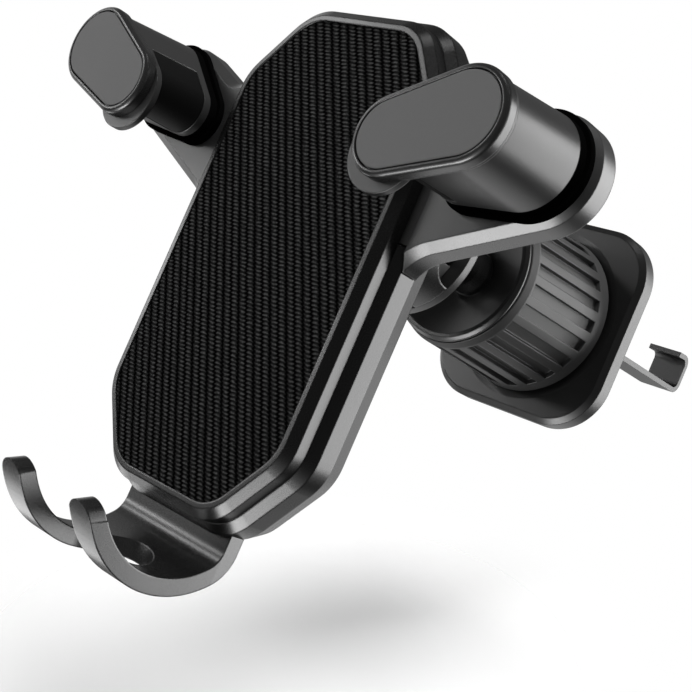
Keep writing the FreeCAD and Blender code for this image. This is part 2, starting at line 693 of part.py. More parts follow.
# Foot: sliding plate that bends forward and up into two prongs
def make_foot():
    mid_y = FOOT_Y + FOOT_T / 2.0
    outer = []
    inner = []
    point = Vector(0, mid_y, FOOT_BEND_Z)
    heading = math.radians(-90)
    for radius, turn in FOOT_BEND:
        right = Vector(0, math.sin(heading), -math.cos(heading))
        centre = point + right * radius
        angles = [heading, heading - math.radians(turn) / 2.0, heading - math.radians(turn)]
        spokes = [Vector(0, -math.sin(a), math.cos(a)) for a in angles]
        outer.append([centre + s * (radius + FOOT_T / 2.0) for s in spokes])
        inner.append([centre + s * (radius - FOOT_T / 2.0) for s in spokes])
        heading = angles[2]
        point = centre + spokes[2] * radius
    top = FOOT_TOP_Z
    edges = [Part.makeLine(Vector(0, FOOT_Y + FOOT_T, top), Vector(0, FOOT_Y + FOOT_T, FOOT_BEND_Z))]
    edges.extend([Part.Arc(a, b, c).toShape() for a, b, c in outer])
    edges.append(Part.makeLine(outer[-1][2], inner[-1][2]))
    edges.extend([Part.Arc(c, b, a).toShape() for a, b, c in reversed(inner)])
    edges.append(Part.makeLine(Vector(0, FOOT_Y, FOOT_BEND_Z), Vector(0, FOOT_Y, top)))
    edges.append(Part.makeLine(Vector(0, FOOT_Y, top), Vector(0, FOOT_Y + FOOT_T, top)))
    strip = Part.Face(Part.Wire(edges))
    strip.translate(Vector(-LUG_HALF_W, 0, 0))
    sheet = strip.extrude(Vector(2 * LUG_HALF_W, 0, 0))

    # Seen from the front: lugs at the top, straight sides below
    low = top - LUG_H
    plan = [(LUG_HALF_W, top), (-LUG_HALF_W, top), (-LUG_HALF_W, low), (-FOOT_HALF_W, low),
            (-FOOT_HALF_W, -FAR), (FOOT_HALF_W, -FAR), (FOOT_HALF_W, low), (LUG_HALF_W, low)]
    sheet = sheet.common(block(outline(plan, 0, -FAR), -FAR, FAR))

    # Seen from above: the sides draw in towards the tips, and the slot parts the two prongs
    tip_y = outer[-1][2].y
    slot_half = FOOT_HALF_W - PRONG_W
    tip_half = TIP_HALF_W - PRONG_W
    beyond = tip_y - FOOT_T
    spread = (FOOT_HALF_W - TIP_HALF_W) / (FOOT_Y - tip_y) * (tip_y - beyond)
    for side in (-1, 1):
        wedge = [(side * FOOT_HALF_W, FOOT_Y), (side * LUG_HALF_W, FOOT_Y), (side * LUG_HALF_W, beyond),
                 (side * (TIP_HALF_W - spread), beyond)]
        sheet = sheet.cut(from_above(wedge, 0))
    slot = [(-slot_half, SLOT_END_Y), (slot_half, SLOT_END_Y), (tip_half, beyond), (-tip_half, beyond)]
    sheet = sheet.cut(from_above(slot, [SLOT_R, SLOT_R, 0, 0]))

    # Round the end of each prong; its inner edge ends a little lower than its outer edge
    lean = heading - math.radians(TIP_LEAN)
    ahead = Vector(0, math.cos(lean), math.sin(lean))
    through = Vector(0, -ahead.z, ahead.y)
    round_r = PRONG_W / 2.0
    centre = outer[-1][2] - ahead * round_r
    for side in (-1, 1):
        middle = Vector(side * (TIP_HALF_W - round_r), centre.y, centre.z)
        nose = Part.makeCylinder(round_r, 4 * FOOT_T, middle - through * (2 * FOOT_T), through)
        blank = Part.makeBox(PRONG_W + 2 * GAP, 4 * FOOT_T, PRONG_W,
                             Vector(-round_r - GAP, -2 * FOOT_T, 0))
        blank.rotate(Vector(0, 0, 0), Vector(1, 0, 0), math.degrees(lean) - 90)
        blank.translate(middle)
        sheet = sheet.cut(blank.cut(nose))
    return sheet.removeSplitter()


parts["foot"] = place(make_foot())


# Base plate: rounded square with a shallow dish in front, a hub for the knob and a slot
def plate_outline(inset, y):
    h = PLATE_HALF - inset
    return outline([(h, -h), (h, h), (-h, h), (-h, -h)], PLATE_CORNER_R - inset, y)


plate = joined([
    Part.makeLoft([plate_outline(PLATE_BEVEL, PLATE_FRONT_Y),
                   plate_outline(0, PLATE_FRONT_Y + PLATE_BEVEL * 0.7)], True, True),
    block(plate_outline(0, PLATE_FRONT_Y + PLATE_BEVEL * 0.7), PLATE_FRONT_Y + PLATE_BEVEL * 0.7,
          -0.4),
    Part.makeLoft([plate_outline(0, -0.4), plate_outline(0.4, 0)], True, True)])
dish = Part.makeCone(DISH_R, DISH_FLOOR_R, DISH_D, Vector(0, PLATE_FRONT_Y, 0), Vector(0, 1, 0))
plate = plate.cut(dish)
plate = joined([plate, rod(HUB_R, HUB_FRONT_Y, PLATE_FRONT_Y + DISH_D + 0.5)])
plate = plate.cut(rod(HUB_BORE_R, HUB_FRONT_Y - 1, -VENT_PAD_T - HUB_FLOOR_T))
plate = plate.cut(block(plate_outline(VENT_PAD_INSET, -VENT_PAD_T), -VENT_PAD_T, 1))
plate = plate.cut(box(-STRIP_W / 2 - GAP, STRIP_W / 2 + GAP, -10, 1,
                      STRIP_Z0 - GAP, STRIP_Z0 + STRIP_T + GAP))
slot_w = PEG_R + GAP
peg_far_y = PEG_REST_Y - HOOK_TRAVEL
window = box(-HUB_R - 1, HUB_R + 1, peg_far_y, PEG_REST_Y, -slot_w, slot_w)
for y in (peg_far_y, PEG_REST_Y):
    window = window.fuse(Part.makeCylinder(slot_w, 2 * HUB_R + 2, Vector(-HUB_R - 1, y, 0), Vector(1, 0, 0)))
parts["base_plate"] = tidy(plate.cut(window))

# Rubber pad that rests on the vent
hole_w, hole_h = VENT_PAD_HOLE
vent_pad = block(plate_outline(VENT_PAD_INSET + FIT, -VENT_PAD_T), -VENT_PAD_T, 0)
vent_pad = vent_pad.cut(box(-hole_w / 2, hole_w / 2, -5, 5, STRIP_Z - hole_h / 2, STRIP_Z + hole_h / 2))
parts["vent_pad"] = tidy(vent_pad)

# Cup on the front of the hub, with a lip that keeps the knob on
cup = turned([
    (CUP_BOSS_R, HUB_FRONT_Y + CUP_BOSS),
    (CUP_BOSS_R, HUB_FRONT_Y),
    (HUB_R, HUB_FRONT_Y),
    (CUP_R, LIP_BACK_Y),
    (LIP_OUT_R, LIP_BACK_Y),
    (LIP_OUT_R, LIP_BACK_Y - 0.5),
    (LIP_OUT_R - 0.7, LIP_FRONT_Y),
    (LIP_IN_R, LIP_FRONT_Y),
    (CUP_FLOOR_R, CUP_FLOOR_Y),
    (SHANK_R + FIT, CUP_FLOOR_Y),
    (SHANK_R + FIT, HUB_FRONT_Y + CUP_BOSS)])
parts["clip_cup"] = tidy(cup)

# Ball stud: ball, waisted neck, flange and shank
BALL_Y_FRAME = BALL_Y - RIM_TO_VENT
clip_y = HUB_FRONT_Y + CUP_BOSS + FIT
neck_y = BALL_Y_FRAME + math.sqrt(BALL_R ** 2 - NECK_R ** 2)
stud = turned([
    (0, BALL_Y_FRAME - BALL_R),
    (BALL_R, BALL_Y_FRAME, "arc"),
    (NECK_R, neck_y),
    (NECK_R, CUP_FLOOR_Y - 4.0),
    (STUD_FLARE_R, CUP_FLOOR_Y - 1.4),
    (STUD_FLARE_R, CUP_FLOOR_Y),
    (SHANK_R, CUP_FLOOR_Y),
    (SHANK_R, clip_y),
    (CLIP_GROOVE_R, clip_y),
    (CLIP_GROOVE_R, clip_y + CLIP_T + FIT),
    (SHANK_R, clip_y + CLIP_T + FIT),
    (SHANK_R, SHANK_END_Y - 0.6),
    (SHANK_R - 0.6, SHANK_END_Y),
    (0, SHANK_END_Y)])
parts["ball_stud"] = tidy(stud)

# Retaining clip in the stud's groove
clip = rod(CLIP_OUT_R, clip_y, clip_y + CLIP_T)
clip = clip.cut(rod(CLIP_GROOVE_R + FIT / 2, -100, 0))
clip = clip.cut(box(-1.8, 1.8, -100, 0, -10, 0))
parts["stud_clip"] = tidy(clip)


# Knob: slightly tapered grip with a ring of flat pockets, bored for the hub
def knob_radius(y):
    share = (y - KNOB_SLOT_START_Y) / (KNOB_SLOT_END_Y - KNOB_SLOT_START_Y)
    return KNOB_R0 + (KNOB_R1 - KNOB_R0) * share


knob = turned([
    (KNOB_BORE_R, KNOB_FRONT_Y + KNOB_RECESS_D),
    (KNOB_RECESS_R, KNOB_FRONT_Y + KNOB_RECESS_D),
    (KNOB_RECESS_R, KNOB_FRONT_Y),
    (KNOB_FRONT_R, KNOB_FRONT_Y),
    (KNOB_R0, KNOB_SLOT_START_Y),
    (KNOB_R1, KNOB_SLOT_END_Y),
    (KNOB_END_R, KNOB_BACK_Y - 0.5),
    (KNOB_END_R - 0.4, KNOB_BACK_Y),
    (KNOB_BORE_R, KNOB_BACK_Y)])
pocket_w = 2 * math.pi * KNOB_R0 / POCKETS * POCKET_SHARE
mid_y = (KNOB_SLOT_START_Y + KNOB_SLOT_END_Y) / 2.0
pocket_len = KNOB_SLOT_END_Y - KNOB_SLOT_START_Y - 1.0
pocket = box(-pocket_w / 2, pocket_w / 2, -pocket_len / 2, pocket_len / 2, 0, 4)
pocket.rotate(Vector(0, 0, 0), Vector(1, 0, 0),
              math.degrees(math.atan2(KNOB_R1 - KNOB_R0, KNOB_SLOT_END_Y - KNOB_SLOT_START_Y)))
pocket.translate(Vector(0, mid_y, knob_radius(mid_y) - POCKET_D))
cutters = []
for k in range(POCKETS):
    one = pocket.copy()
    one.rotate(Vector(0, 0, 0), Vector(0, 1, 0), k * 360.0 / POCKETS)
    cutters.append(one)
knob = knob.cut(cutters)


# Helical grooves that carry the pegs, from rest to the drawn position
def groove_cutter(start_angle):
    middle_r = (HUB_R - 1.0 + GROOVE_R) / 2.0
    overrun = math.degrees((PEG_R + 2 * GAP) / GROOVE_R)
    sweep = HOOK_TRAVEL / LEAD * 360.0 + 2 * overrun
    height = sweep / 360.0 * LEAD
    helix = Part.makeHelix(LEAD, height, middle_r)
    half_w = PEG_R + GAP + 0.05
    corners = [Vector(HUB_R - 1.0, 0, -half_w), Vector(GROOVE_R, 0, -half_w),
               Vector(GROOVE_R, 0, half_w), Vector(HUB_R - 1.0, 0, half_w)]
    profile = Part.makePolygon(corners + [corners[0]])
    groove = Part.Wire(helix.Edges).makePipeShell([profile], True, True)
    groove.rotate(Vector(0, 0, 0), Vector(1, 0, 0), -90)
    groove.rotate(Vector(0, 0, 0), Vector(0, 1, 0), start_angle - sweep + overrun)
    groove.translate(Vector(0, PEG_REST_Y - height + overrun / 360.0 * LEAD, 0))
    return groove


for start in range(STARTS):
    knob = knob.cut(groove_cutter(start * 360.0 / STARTS))
parts["clamp_knob"] = tidy(knob)

# Carrier inside the hub: block with two pegs and a slit for the hook strip
carrier = rod(HUB_BORE_R - GAP, CARRIER_BACK_Y - CARRIER_LEN, CARRIER_BACK_Y)
pegs = Part.makeCylinder(PEG_R, 2 * PEG_REACH, Vector(-PEG_REACH, PEG_REST_Y, 0), Vector(1, 0, 0))
carrier = joined([carrier, pegs])
carrier = carrier.cut(box(-STRIP_W / 2 - FIT, STRIP_W / 2 + FIT, CARRIER_BACK_Y - CARRIER_LEN + 1.2,
                          CARRIER_BACK_Y + 1, STRIP_Z0 - FIT, STRIP_Z0 + STRIP_T + FIT))
rivet_y = CARRIER_BACK_Y - CARRIER_LEN / 2.0
for x in (-RIVET_X, RIVET_X):
    carrier = carrier.cut(Part.makeCylinder(RIVET_R + FIT, 20, Vector(x, rivet_y, -10)))
parts["hook_carrier"] = tidy(carrier)


# Hook: flat strip that turns up behind the vent blade and back over it
def make_hook():
    r = HOOK_BEND_R
    z0 = STRIP_Z0
    z1 = STRIP_Z0 + STRIP_T
    y_start = CARRIER_BACK_Y - CARRIER_LEN + 1.3
    y_out = HOOK_END_Y
    y_in = HOOK_END_Y - STRIP_T
    top = z0 + HOOK_RISE
    lip_y = y_out - HOOK_LIP
    corners = [(y_start, z0), (y_out, z0), (y_out, top), (lip_y, top - HOOK_LIP_DROP * 0.2),
               (lip_y, top - STRIP_T - HOOK_LIP_DROP * 0.2), (y_in, top - STRIP_T), (y_in, z1),
               (y_start, z1)]
    radii = [0, r + STRIP_T, r + STRIP_T, 0, 0, r, r, 0]
    wire = outline(corners, radii, 0)
    face = Part.Face(wire)
    face.rotate(Vector(0, 0, 0), Vector(0, 0, 1), 90)
    face.translate(Vector(-STRIP_W / 2.0, 0, 0))
    strip = face.extrude(Vector(STRIP_W, 0, 0))
    for x in (-RIVET_X, RIVET_X):
        strip = strip.cut(Part.makeCylinder(RIVET_R + FIT, 20, Vector(x, rivet_y, -10)))
    return strip


parts["vent_hook"] = tidy(make_hook())
rivets = []
for x in (-RIVET_X, RIVET_X):
    rise = math.sqrt((HUB_BORE_R - GAP) ** 2 - (RIVET_X + RIVET_R) ** 2) - 0.2
    rivets.append(Part.makeCylinder(RIVET_R, 2 * rise, Vector(x, rivet_y, -rise)))
parts["hook_rivets"] = Part.makeCompound(rivets)

for name, shape in parts.items():
    shape.exportStep("parts/" + name + ".step")
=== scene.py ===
# %% [markdown]
# This lesson gives a phone holder for a car's air vent the look of moulded black plastic. The
# shapes come from the frame, which holds every piece at its real size. Here they get finishes,
# light, a floor and a camera. Lengths are in metres.

# %% Open the frame
import math

import bpy
from mathutils import Matrix, Vector


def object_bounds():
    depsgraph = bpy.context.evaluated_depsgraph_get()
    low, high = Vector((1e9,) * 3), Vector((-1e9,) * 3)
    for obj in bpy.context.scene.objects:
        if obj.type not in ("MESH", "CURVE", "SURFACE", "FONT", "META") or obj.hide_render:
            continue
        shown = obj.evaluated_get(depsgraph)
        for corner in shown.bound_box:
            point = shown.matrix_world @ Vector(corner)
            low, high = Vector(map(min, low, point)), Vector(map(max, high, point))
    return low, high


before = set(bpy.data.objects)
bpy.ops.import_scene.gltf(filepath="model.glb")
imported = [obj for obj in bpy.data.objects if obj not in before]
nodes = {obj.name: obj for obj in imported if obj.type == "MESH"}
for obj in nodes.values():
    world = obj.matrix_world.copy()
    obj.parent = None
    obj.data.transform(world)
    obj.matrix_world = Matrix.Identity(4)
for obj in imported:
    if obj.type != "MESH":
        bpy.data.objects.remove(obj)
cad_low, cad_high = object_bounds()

scene = bpy.context.scene
MM = 0.001
print("pieces from the frame:", len(nodes))
print("size in millimetres:", [round(v / MM, 1) for v in cad_high - cad_low])


# %% [markdown]
# A finish is a small graph of shader nodes. Written with node calls alone, even a simple formula
# takes many lines. So a wrapped socket is used here: it has Python's own operators, and each
# operator adds one Math node. The formula for a pattern then reads as it would on paper.

# %% A socket that can be calculated with
class Signal:
    """One number that changes from place to place."""

    def __init__(self, graph, socket):
        self.graph = graph
        self.socket = socket

    def math(self, operation, first, second=None):
        inputs = {0: first}
        if second is not None:
            inputs[1] = second
        node = self.graph.node("ShaderNodeMath", {"operation": operation}, inputs)
        return Signal(self.graph, node.outputs[0])

    def __add__(self, other):
        return self.math("ADD", self, other)

    def __radd__(self, other):
        return self.math("ADD", other, self)

    def __sub__(self, other):
        return self.math("SUBTRACT", self, other)

    def __rsub__(self, other):
        return self.math("SUBTRACT", other, self)

    def __mul__(self, other):
        return self.math("MULTIPLY", self, other)

    def __rmul__(self, other):
        return self.math("MULTIPLY", other, self)

    def __truediv__(self, other):
        return self.math("DIVIDE", self, other)

    def __pow__(self, other):
        return self.math("POWER", self, other)

    def __abs__(self):
        return self.math("ABSOLUTE", self)

    def floor(self):
        return self.math("FLOOR", self)

    def fraction(self):
        return self.math("FRACT", self)

    def cosine(self):
        return self.math("COSINE", self)

    def at_most(self, other):
        return self.math("MINIMUM", self, other)

    def at_least(self, other):
        return self.math("MAXIMUM", self, other)

    def ramp(self, low, high):
        """Goes smoothly from 0 to 1 as the signal goes from low to high."""
        settings = {"interpolation_type": "SMOOTHSTEP"}
        inputs = {"Value": self, "From Min": low, "From Max": high}
        node = self.graph.node("ShaderNodeMapRange", settings, inputs)
        return Signal(self.graph, node.outputs["Result"])


# %% [markdown]
# Every other node comes from one method. It takes the node's type, then its settings, then what
# each of its sockets gets: a plain value, or a link from another node. The materials use it, and
# so does the world.

# %% A graph of nodes
class Graph:
    """A node tree that is written with one call a node."""

    def __init__(self, owner):
        owner.use_nodes = True
        self.tree = owner.node_tree
        self.tree.nodes.clear()

    def node(self, kind, settings=None, inputs=None):
        node = self.tree.nodes.new(kind)
        for key, value in (settings or {}).items():
            setattr(node, key, value)
        for key, value in (inputs or {}).items():
            self.feed(node.inputs[key], value)
        return node

    def feed(self, socket, value):
        if isinstance(value, Signal):
            value = value.socket
        if isinstance(value, bpy.types.NodeSocket):
            self.tree.links.new(value, socket)
        else:
            socket.default_value = value


# %% [markdown]
# A finish on the real object is a skin: it has a colour, a shine and a fine relief. Here it is one
# Principled shader with noise for the first two and bumps for the third. The bumps start from the
# Bevel node, which rounds sharp edges in the shading alone. Real mouldings have such worn edges,
# and they catch the light in thin bright lines, which a mesh with sharp corners doesn't.

# %% A finish
MIX_FACTOR, MIX_FIRST, MIX_SECOND = 0, 6, 7
MIX_COLOUR = 2
BEVEL_SAMPLES = 8


def gray(level):
    return (level, level, level, 1.0)


class Finish(Graph):
    """A material with one Principled shader."""

    def __init__(self, name, **constants):
        self.material = bpy.data.materials.new(name)
        super().__init__(self.material)
        self.shader = self.node("ShaderNodeBsdfPrincipled")
        surface = {"Surface": self.shader.outputs[0]}
        self.output = self.node("ShaderNodeOutputMaterial", {}, surface)
        for key, value in constants.items():
            self.feed(self.shader.inputs[key.replace("_", " ")], value)
        self.place = self.node("ShaderNodeTexCoord").outputs["Object"]
        split = self.node("ShaderNodeSeparateXYZ", {}, {0: self.place})
        self.x, self.y, self.z = (Signal(self, output) for output in split.outputs)

    def noise(self, size, detail=2.0, where=None):
        """Soft noise from 0 to 1 whose spots are about the given size."""
        settings = {"noise_dimensions": "3D"}
        inputs = {"Vector": where or self.place, "Scale": 1 / size, "Detail": detail}
        node = self.node("ShaderNodeTexNoise", settings, inputs)
        return Signal(self, node.outputs["Fac"])

    def blend(self, mask, first, second):
        """A colour between two colours."""
        inputs = {MIX_FACTOR: mask, MIX_FIRST: first, MIX_SECOND: second}
        node = self.node("ShaderNodeMix", {"data_type": "RGBA"}, inputs)
        return node.outputs[MIX_COLOUR]

    def relief(self, height, depth, edge):
        """Bumps of a height signal, on a surface whose sharp edges are worn round."""
        rounded = self.node("ShaderNodeBevel", {"samples": BEVEL_SAMPLES}, {"Radius": edge})
        inputs = {"Height": height, "Distance": depth, "Strength": 1.0}
        inputs["Normal"] = rounded.outputs[0]
        bump = self.node("ShaderNodeBump", {}, inputs)
        self.feed(self.shader.inputs["Normal"], bump.outputs[0])

    def paint(self, *names):
        """Gives the finish to pieces of the frame."""
        for name in names:
            mesh = nodes[name].data
            mesh.materials.clear()
            mesh.materials.append(self.material)
        print(self.material.name, "is on", ", ".join(names))


# %% [markdown]
# Most pieces are moulded in dark plastic. The mould is sparked, so the skin has a fine even grain,
# and it shines softly. A plain dark colour would look like a hole in the picture, so the grain
# feeds the colour, the bump and the roughness, and a slow cloud varies the shine a little.

# %% Moulded plastic
GRAIN = 0.12 * MM
GRAIN_TINT = 0.14
GRAIN_SHINE = 0.05
CLOUD = 18.0 * MM
CLOUD_DETAIL = 3.0
CLOUD_SHINE = 0.08
WORN_EDGE = 0.4 * MM


def moulded(name, level, roughness, depth, shine=0.5, edge=WORN_EDGE):
    finish = Finish(name, Specular_IOR_Level=shine)
    fine = finish.noise(GRAIN)
    cloud = finish.noise(CLOUD, CLOUD_DETAIL)
    dark, light = gray(level * (1 - GRAIN_TINT)), gray(level * (1 + GRAIN_TINT))
    finish.feed(finish.shader.inputs["Base Color"], finish.blend(fine, dark, light))
    uneven = roughness + CLOUD_SHINE * (cloud - 0.5) + GRAIN_SHINE * (fine - 0.5)
    finish.feed(finish.shader.inputs["Roughness"], uneven)
    finish.relief(fine, depth, edge)
    return finish


# %% [markdown]
# The arms are satin. The foot, the heads of the columns and the ball come out of smoother moulds,
# and the shells of the cradle are polished almost black. The level is the share of light that the
# colour gives back.

# %% Arms, foot, heads and shells
satin = moulded("satin_plastic", level=0.034, roughness=0.29, depth=0.005 * MM, shine=0.6)
satin.paint("left_arm", "right_arm")
smooth = moulded("smooth_plastic", level=0.014, roughness=0.27, depth=0.003 * MM, shine=0.6)
smooth.paint("foot", "left_head", "right_head", "ball_stud")
shell = moulded("polished_shell", level=0.005, roughness=0.27, depth=0.002 * MM, edge=0.5 * MM)
shell.paint("front_shell", "rear_shell")

# %% [markdown]
# The clip has two plastics: the knob is grayer and duller for a better grip, and the plate behind
# it is dark, like the cup in the knob. The liner of the ball joint, which shows in the slot of its
# socket, is painted light gray: the gray is a painted reflection of the light it catches there.
# The small pieces inside are made of the same plastic.

# %% Clip, and inner pieces with a painted reflection
ribbed = moulded("ribbed_plastic", level=0.058, roughness=0.48, depth=0.008 * MM, shine=0.36)
ribbed.paint("clamp_knob")
plate = moulded("plate_plastic", level=0.010, roughness=0.32, depth=0.003 * MM)
plate.paint("base_plate", "clip_cup")
# The light gray is painted light: it stands in for a reflection on the liner.
inner = moulded("inner_plastic_with_painted_reflection", level=0.40, roughness=0.5, depth=0.005 * MM)
inner.paint("socket_liner", "pinion", "hook_carrier")

# %% [markdown]
# Each column has a band of painted shade round its foot, where it meets the arm. It copies the
# black that the arm's chamfer shows there, because that chamfer faces the dark of the studio. The
# shade gives back hardly any light, so a dark colour isn't enough: the gloss has to go too. A
# second shader without gloss is therefore mixed in, between two heights on the column. The column
# stands along y, so its heights are values of y. The ring of the socket has the same plastic and
# lies outside the band.

# %% Columns with a band of painted shade
SHADE_BAND_START = -94.1 * MM
SHADE_BAND_END = -90.4 * MM
SHADE_BAND_EDGE = 0.2 * MM
SHADE_BAND_LEVEL = 0.002
column = moulded("column_plastic_with_painted_shade", level=0.028, roughness=0.34, depth=0.003 * MM)
column.paint("left_column", "right_column", "socket_ring")
# Between these two heights the column gets painted shade.
past_shade_start = column.y.ramp(SHADE_BAND_START, SHADE_BAND_START + SHADE_BAND_EDGE)
past_shade_end = column.y.ramp(SHADE_BAND_END, SHADE_BAND_END + SHADE_BAND_EDGE)
# This black shader without gloss is the painted shade of the band.
painted_shade_skin = column.node("ShaderNodeBsdfPrincipled")
column.feed(painted_shade_skin.inputs["Base Color"], gray(SHADE_BAND_LEVEL))
column.feed(painted_shade_skin.inputs["Specular IOR Level"], 0.0)
shade_skins = {0: past_shade_start - past_shade_end, 1: column.shader.outputs[0], 2: painted_shade_skin.outputs[0]}
shade_banded = column.node("ShaderNodeMixShader", {}, shade_skins)
column.feed(column.output.inputs["Surface"], shade_banded.outputs[0])
print("black band:", round((SHADE_BAND_END - SHADE_BAND_START) / MM, 1), "mm wide")

# %% [markdown]
# The oval panels in the heads are matt and mid-gray. The sleeves that touch the phone and the pad
# behind the plate are rubber, which hardly shines.

# %% Panels and rubber
panel = moulded("matt_panel", level=0.128, roughness=0.62, depth=0.008 * MM, shine=0.3)
panel.paint("left_head_panel", "right_head_panel")
rubber = moulded("rubber_skin", level=0.005, roughness=0.6, depth=0.005 * MM, shine=0.12)
rubber.paint("left_sleeve", "right_sleeve", "vent_pad")


# %% [markdown]
# The phone rests on a thin rubber pad with a woven face. The weave runs in slanted columns, and
# each column is a pile of short flat stitches. Modelled as geometry it would be thousands of
# bumps, so it is drawn as a height from the position on the pad. Two directions measure the place:
# one across the columns and one along them.

# %% Two directions on the pad
WEAVE_COLUMN = 2.15 * MM
WEAVE_STITCH = 0.90 * MM
COLUMN_LEAN = math.radians(31.7)
STITCH_LIFT = math.radians(12.0)
pad = Finish("woven_rubber_with_painted_shade_and_sheen", Specular_IOR_Level=0.0, Roughness=0.8)
skew = math.cos(COLUMN_LEAN - STITCH_LIFT)
sideways = pad.x * math.cos(COLUMN_LEAN) + pad.z * math.sin(COLUMN_LEAN)
upwards = pad.z * math.cos(STITCH_LIFT) - pad.x * math.sin(STITCH_LIFT)
across = sideways / (skew * WEAVE_COLUMN)
along = upwards / (skew * WEAVE_STITCH)
print("weave: a column every", WEAVE_COLUMN / MM, "mm, a stitch every", WEAVE_STITCH / MM, "mm")

# %% [markdown]
# The whole part of the first number counts the columns, and its fraction is the place inside one.
# Every second column is shifted by half a stitch. A slow noise lets the threads wander, because a
# perfect weave looks printed.

# %% Stitches
TURN = 2.0 * math.pi
WANDER = 2.2 * MM
COLUMN_WANDER = 0.22
STITCH_WANDER = 0.5
SWING = 0.09
STITCH_SLANT = 0.45
CROWN_POWER = 2.4
RIDGE_SHARE = 0.55
wander = pad.noise(WANDER, detail=1.0) - 0.5
shift = across + COLUMN_WANDER * wander + SWING * (along * TURN).cosine()
in_column = shift.fraction() - 0.5
stitch = along + 0.5 * shift.floor() + STITCH_SLANT * in_column + STITCH_WANDER * wander
in_stitch = stitch.fraction() - 0.5
crown = (1.0 - (abs(in_column) * 2.0) ** CROWN_POWER).at_least(0.0)
ridge = 0.5 + 0.5 * (in_stitch * TURN).cosine()
weave = crown * ((1 - RIDGE_SHARE) + RIDGE_SHARE * ridge)
print("nodes for the weave so far:", len(pad.tree.nodes))

# %% [markdown]
# The colour follows the height, and it carries painted light. Painted shade makes it almost black
# in the gaps, the body of a stitch is dark, and a painted highlight makes it grayer on the crest,
# where single fibres shine. Rubberised thread has no clear highlight, so the shader's gloss is off
# and the sheen of the fibres is painted into the colour.

# %% Colour of the weave, with painted shade and highlights
FIBRE = 0.35 * MM
WEAVE_DEPTH = 0.30 * MM
WEAVE_EDGE = 0.2 * MM
FIBRE_HEIGHT = 0.15
FIBRE_DARKEST, FIBRE_CONTRAST = 0.3, 1.4
GAP_SHADE_LEVEL = 0.0008
BODY_LEVEL = 0.015
CREST_SHEEN_LEVEL = 0.080
BODY_START, BODY_FULL = 0.15, 0.60
CREST_SHEEN_START, CREST_SHEEN_FULL = 0.55, 1.15
fibre = pad.noise(FIBRE, detail=3.0)
body = weave.ramp(BODY_START, BODY_FULL)
painted_crest_sheen = (weave * (FIBRE_DARKEST + FIBRE_CONTRAST * fibre)).ramp(CREST_SHEEN_START, CREST_SHEEN_FULL)
# Painted shade: the gaps between the stitches are darkened.
dull_with_painted_shade = pad.blend(body, gray(GAP_SHADE_LEVEL), gray(BODY_LEVEL))
# Painted highlight: the crests are lightened where the fibres would shine.
pad.feed(pad.shader.inputs["Base Color"], pad.blend(painted_crest_sheen, dull_with_painted_shade, gray(CREST_SHEEN_LEVEL)))
pad.relief(weave + FIBRE_HEIGHT * fibre, WEAVE_DEPTH, WEAVE_EDGE)
pad.paint("grip_pad")


# %% [markdown]
# The hook is a strip of steel, brushed along its length. Brushing is a noise that is stretched in
# one direction: its coordinate is scaled down along the strip, so every spot becomes a scratch.
# The screws, the rivets and the retaining clip are plain dark steel.

# %% Brushed steel
SCRATCH = 0.2 * MM
SCRATCH_DEPTH = 0.008 * MM
SCRATCH_SHINE = 0.12
SCRATCH_DARK, SCRATCH_LIGHT = 0.8, 1.15
STEEL_EDGE = 0.2 * MM
ALONG_STRIP = (1.0, 0.06, 1.0)
NO_DIRECTION = (1.0, 1.0, 1.0)


def steel(name, level, roughness, stretch):
    finish = Finish(name, Metallic=1.0)
    scaled = finish.node("ShaderNodeMapping", {}, {"Vector": finish.place, "Scale": stretch})
    scratch = finish.noise(SCRATCH, detail=3.0, where=scaled.outputs[0])
    dark, light = gray(level * SCRATCH_DARK), gray(level * SCRATCH_LIGHT)
    finish.feed(finish.shader.inputs["Base Color"], finish.blend(scratch, dark, light))
    uneven = roughness + SCRATCH_SHINE * (scratch - 0.5)
    finish.feed(finish.shader.inputs["Roughness"], uneven)
    finish.relief(scratch, SCRATCH_DEPTH, STEEL_EDGE)
    return finish


strip = steel("brushed_strip", level=0.09, roughness=0.48, stretch=ALONG_STRIP)
strip.paint("vent_hook")
fastener = steel("dark_fastener", level=0.07, roughness=0.45, stretch=NO_DIRECTION)
fastener.paint("shell_screws", "left_arm_screws", "right_arm_screws", "hook_rivets", "stud_clip")


# %% [markdown]
# The studio is white to the camera. A glossy surface sees white only where the studio has white
# screens, and dark walls elsewhere: that contrast is what shows the shape of black plastic. Dull
# surfaces get a weak even light. Every direction below is the one from the holder towards the
# thing, and a screen is whole within its first angle and gone beyond its second.

# %% Screens and walls
SCREENS = [
    ("side", (0.66, 0.73, 0.16), 14, 44),
    ("low", (0.0, -0.45, -0.89), 20, 50),
    ("front left", (-0.76, -0.65, 0.04), 5, 16),
    ("low back", (-0.27, 0.72, -0.64), 10, 34),
    ("left", (-1.0, 0.05, 0.15), 10, 40),
    ("back", (0.05, 1.0, 0.10), 10, 36),
]
DARK_WALL = 0.10
EVEN_LIGHT = 0.18

scene.view_settings.view_transform = "Standard"
world = bpy.data.worlds.new("studio")
scene.world = world
studio = Graph(world)
heading = studio.node("ShaderNodeTexCoord").outputs["Generated"]
glossy_view = DARK_WALL
for label, toward, whole, gone in SCREENS:
    inputs = {0: heading, 1: Vector(toward).normalized()}
    nearness = studio.node("ShaderNodeVectorMath", {"operation": "DOT_PRODUCT"}, inputs)
    reach = Signal(studio, nearness.outputs["Value"])
    screen = reach.ramp(math.cos(math.radians(gone)), math.cos(math.radians(whole)))
    glossy_view = screen + glossy_view
    print(label, "screen is", 2 * whole, "degrees wide and fades out at", 2 * gone)

# %% [markdown]
# The Light Path node tells which kind of ray asks. So one background can be white for the camera,
# show the screens to glossy rays and be evenly gray for all others.

